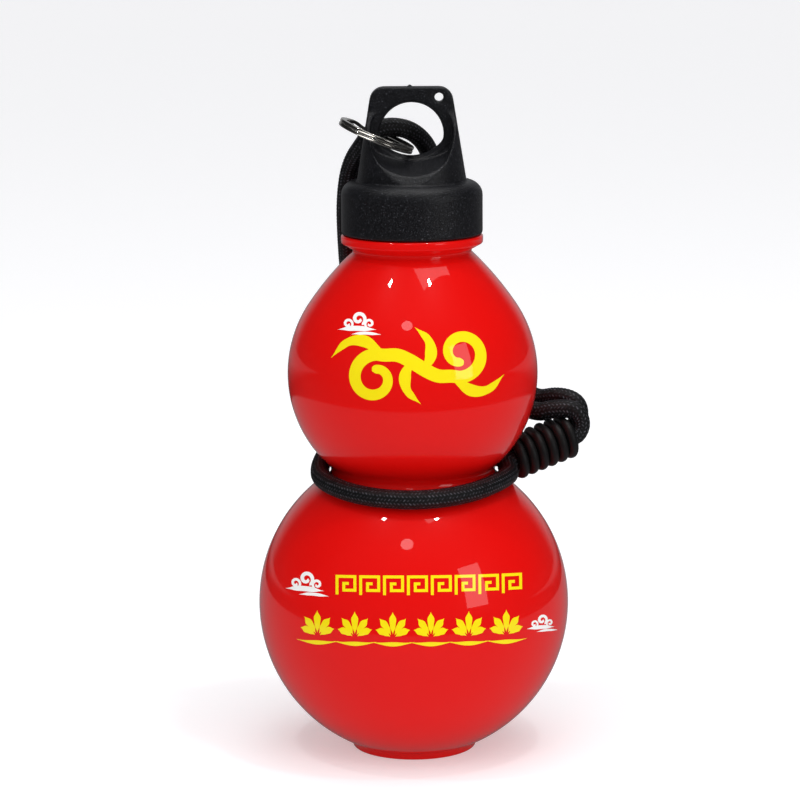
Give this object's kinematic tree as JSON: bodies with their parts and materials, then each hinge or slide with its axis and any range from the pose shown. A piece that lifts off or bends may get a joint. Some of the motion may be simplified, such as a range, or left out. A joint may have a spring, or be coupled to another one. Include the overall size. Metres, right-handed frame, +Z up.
{
  "type": "gourd water bottle",
  "caption": "Two-bulb gourd-shaped water bottle with a screw loop cap, a split ring on the cap's eye and a carry cord cinched round the waist by a wound slip knot.",
  "frame": {"origin": "centre of the foot, on the surface that the bottle stands on", "axes": "+Z up along the bottle's axis, +X to the right of the picture, -Y towards the viewer"},
  "size_m": [0.1078, 0.1, 0.2153],
  "materials": {
    "body": "gloss",
    "seal": "satin",
    "cap": "fine texture",
    "ring": "bright nickel",
    "cord": "matte",
    "winding": "matte"
  },
  "bodies": {
    "bottle": {"bottle_body": "body", "strap_noose": "cord", "strap_carry_loop": "cord"},
    "winding": {"strap_winding": "winding"},
    "lift": {"cap_seal": "seal"},
    "cap": {"cap": "cap"},
    "ring": {"split_ring": "ring"}
  },
  "joints": [
    {"name": "cap_lift", "type": "slide", "parent": "bottle", "child": "lift", "axis": [0, 0, 1], "range_m": [0, 0.008], "deforming": ["strap_carry_loop"]},
    {"name": "cap_turn", "type": "hinge", "parent": "lift", "child": "cap", "pos_m": [0, 0, 0.18303], "axis": [0, 0, 1], "range_deg": [0, 720]},
    {"name": "ring_swing", "type": "hinge", "parent": "cap", "child": "ring", "pos_m": [-0.0005, 0, 0.1945], "axis": [0, 1, 0], "range_deg": [-10, 30]},
    {"name": "winding_slide", "type": "slide", "parent": "bottle", "child": "winding", "axis": [0.9045, 0.2939, 0.309], "range_m": [0, 0.003], "deforming": ["strap_noose"]}
  ],
  "couplings": [
    {"joint": "cap_lift", "follows": "cap_turn", "m_per_rad": 0.00063662}
  ]
}
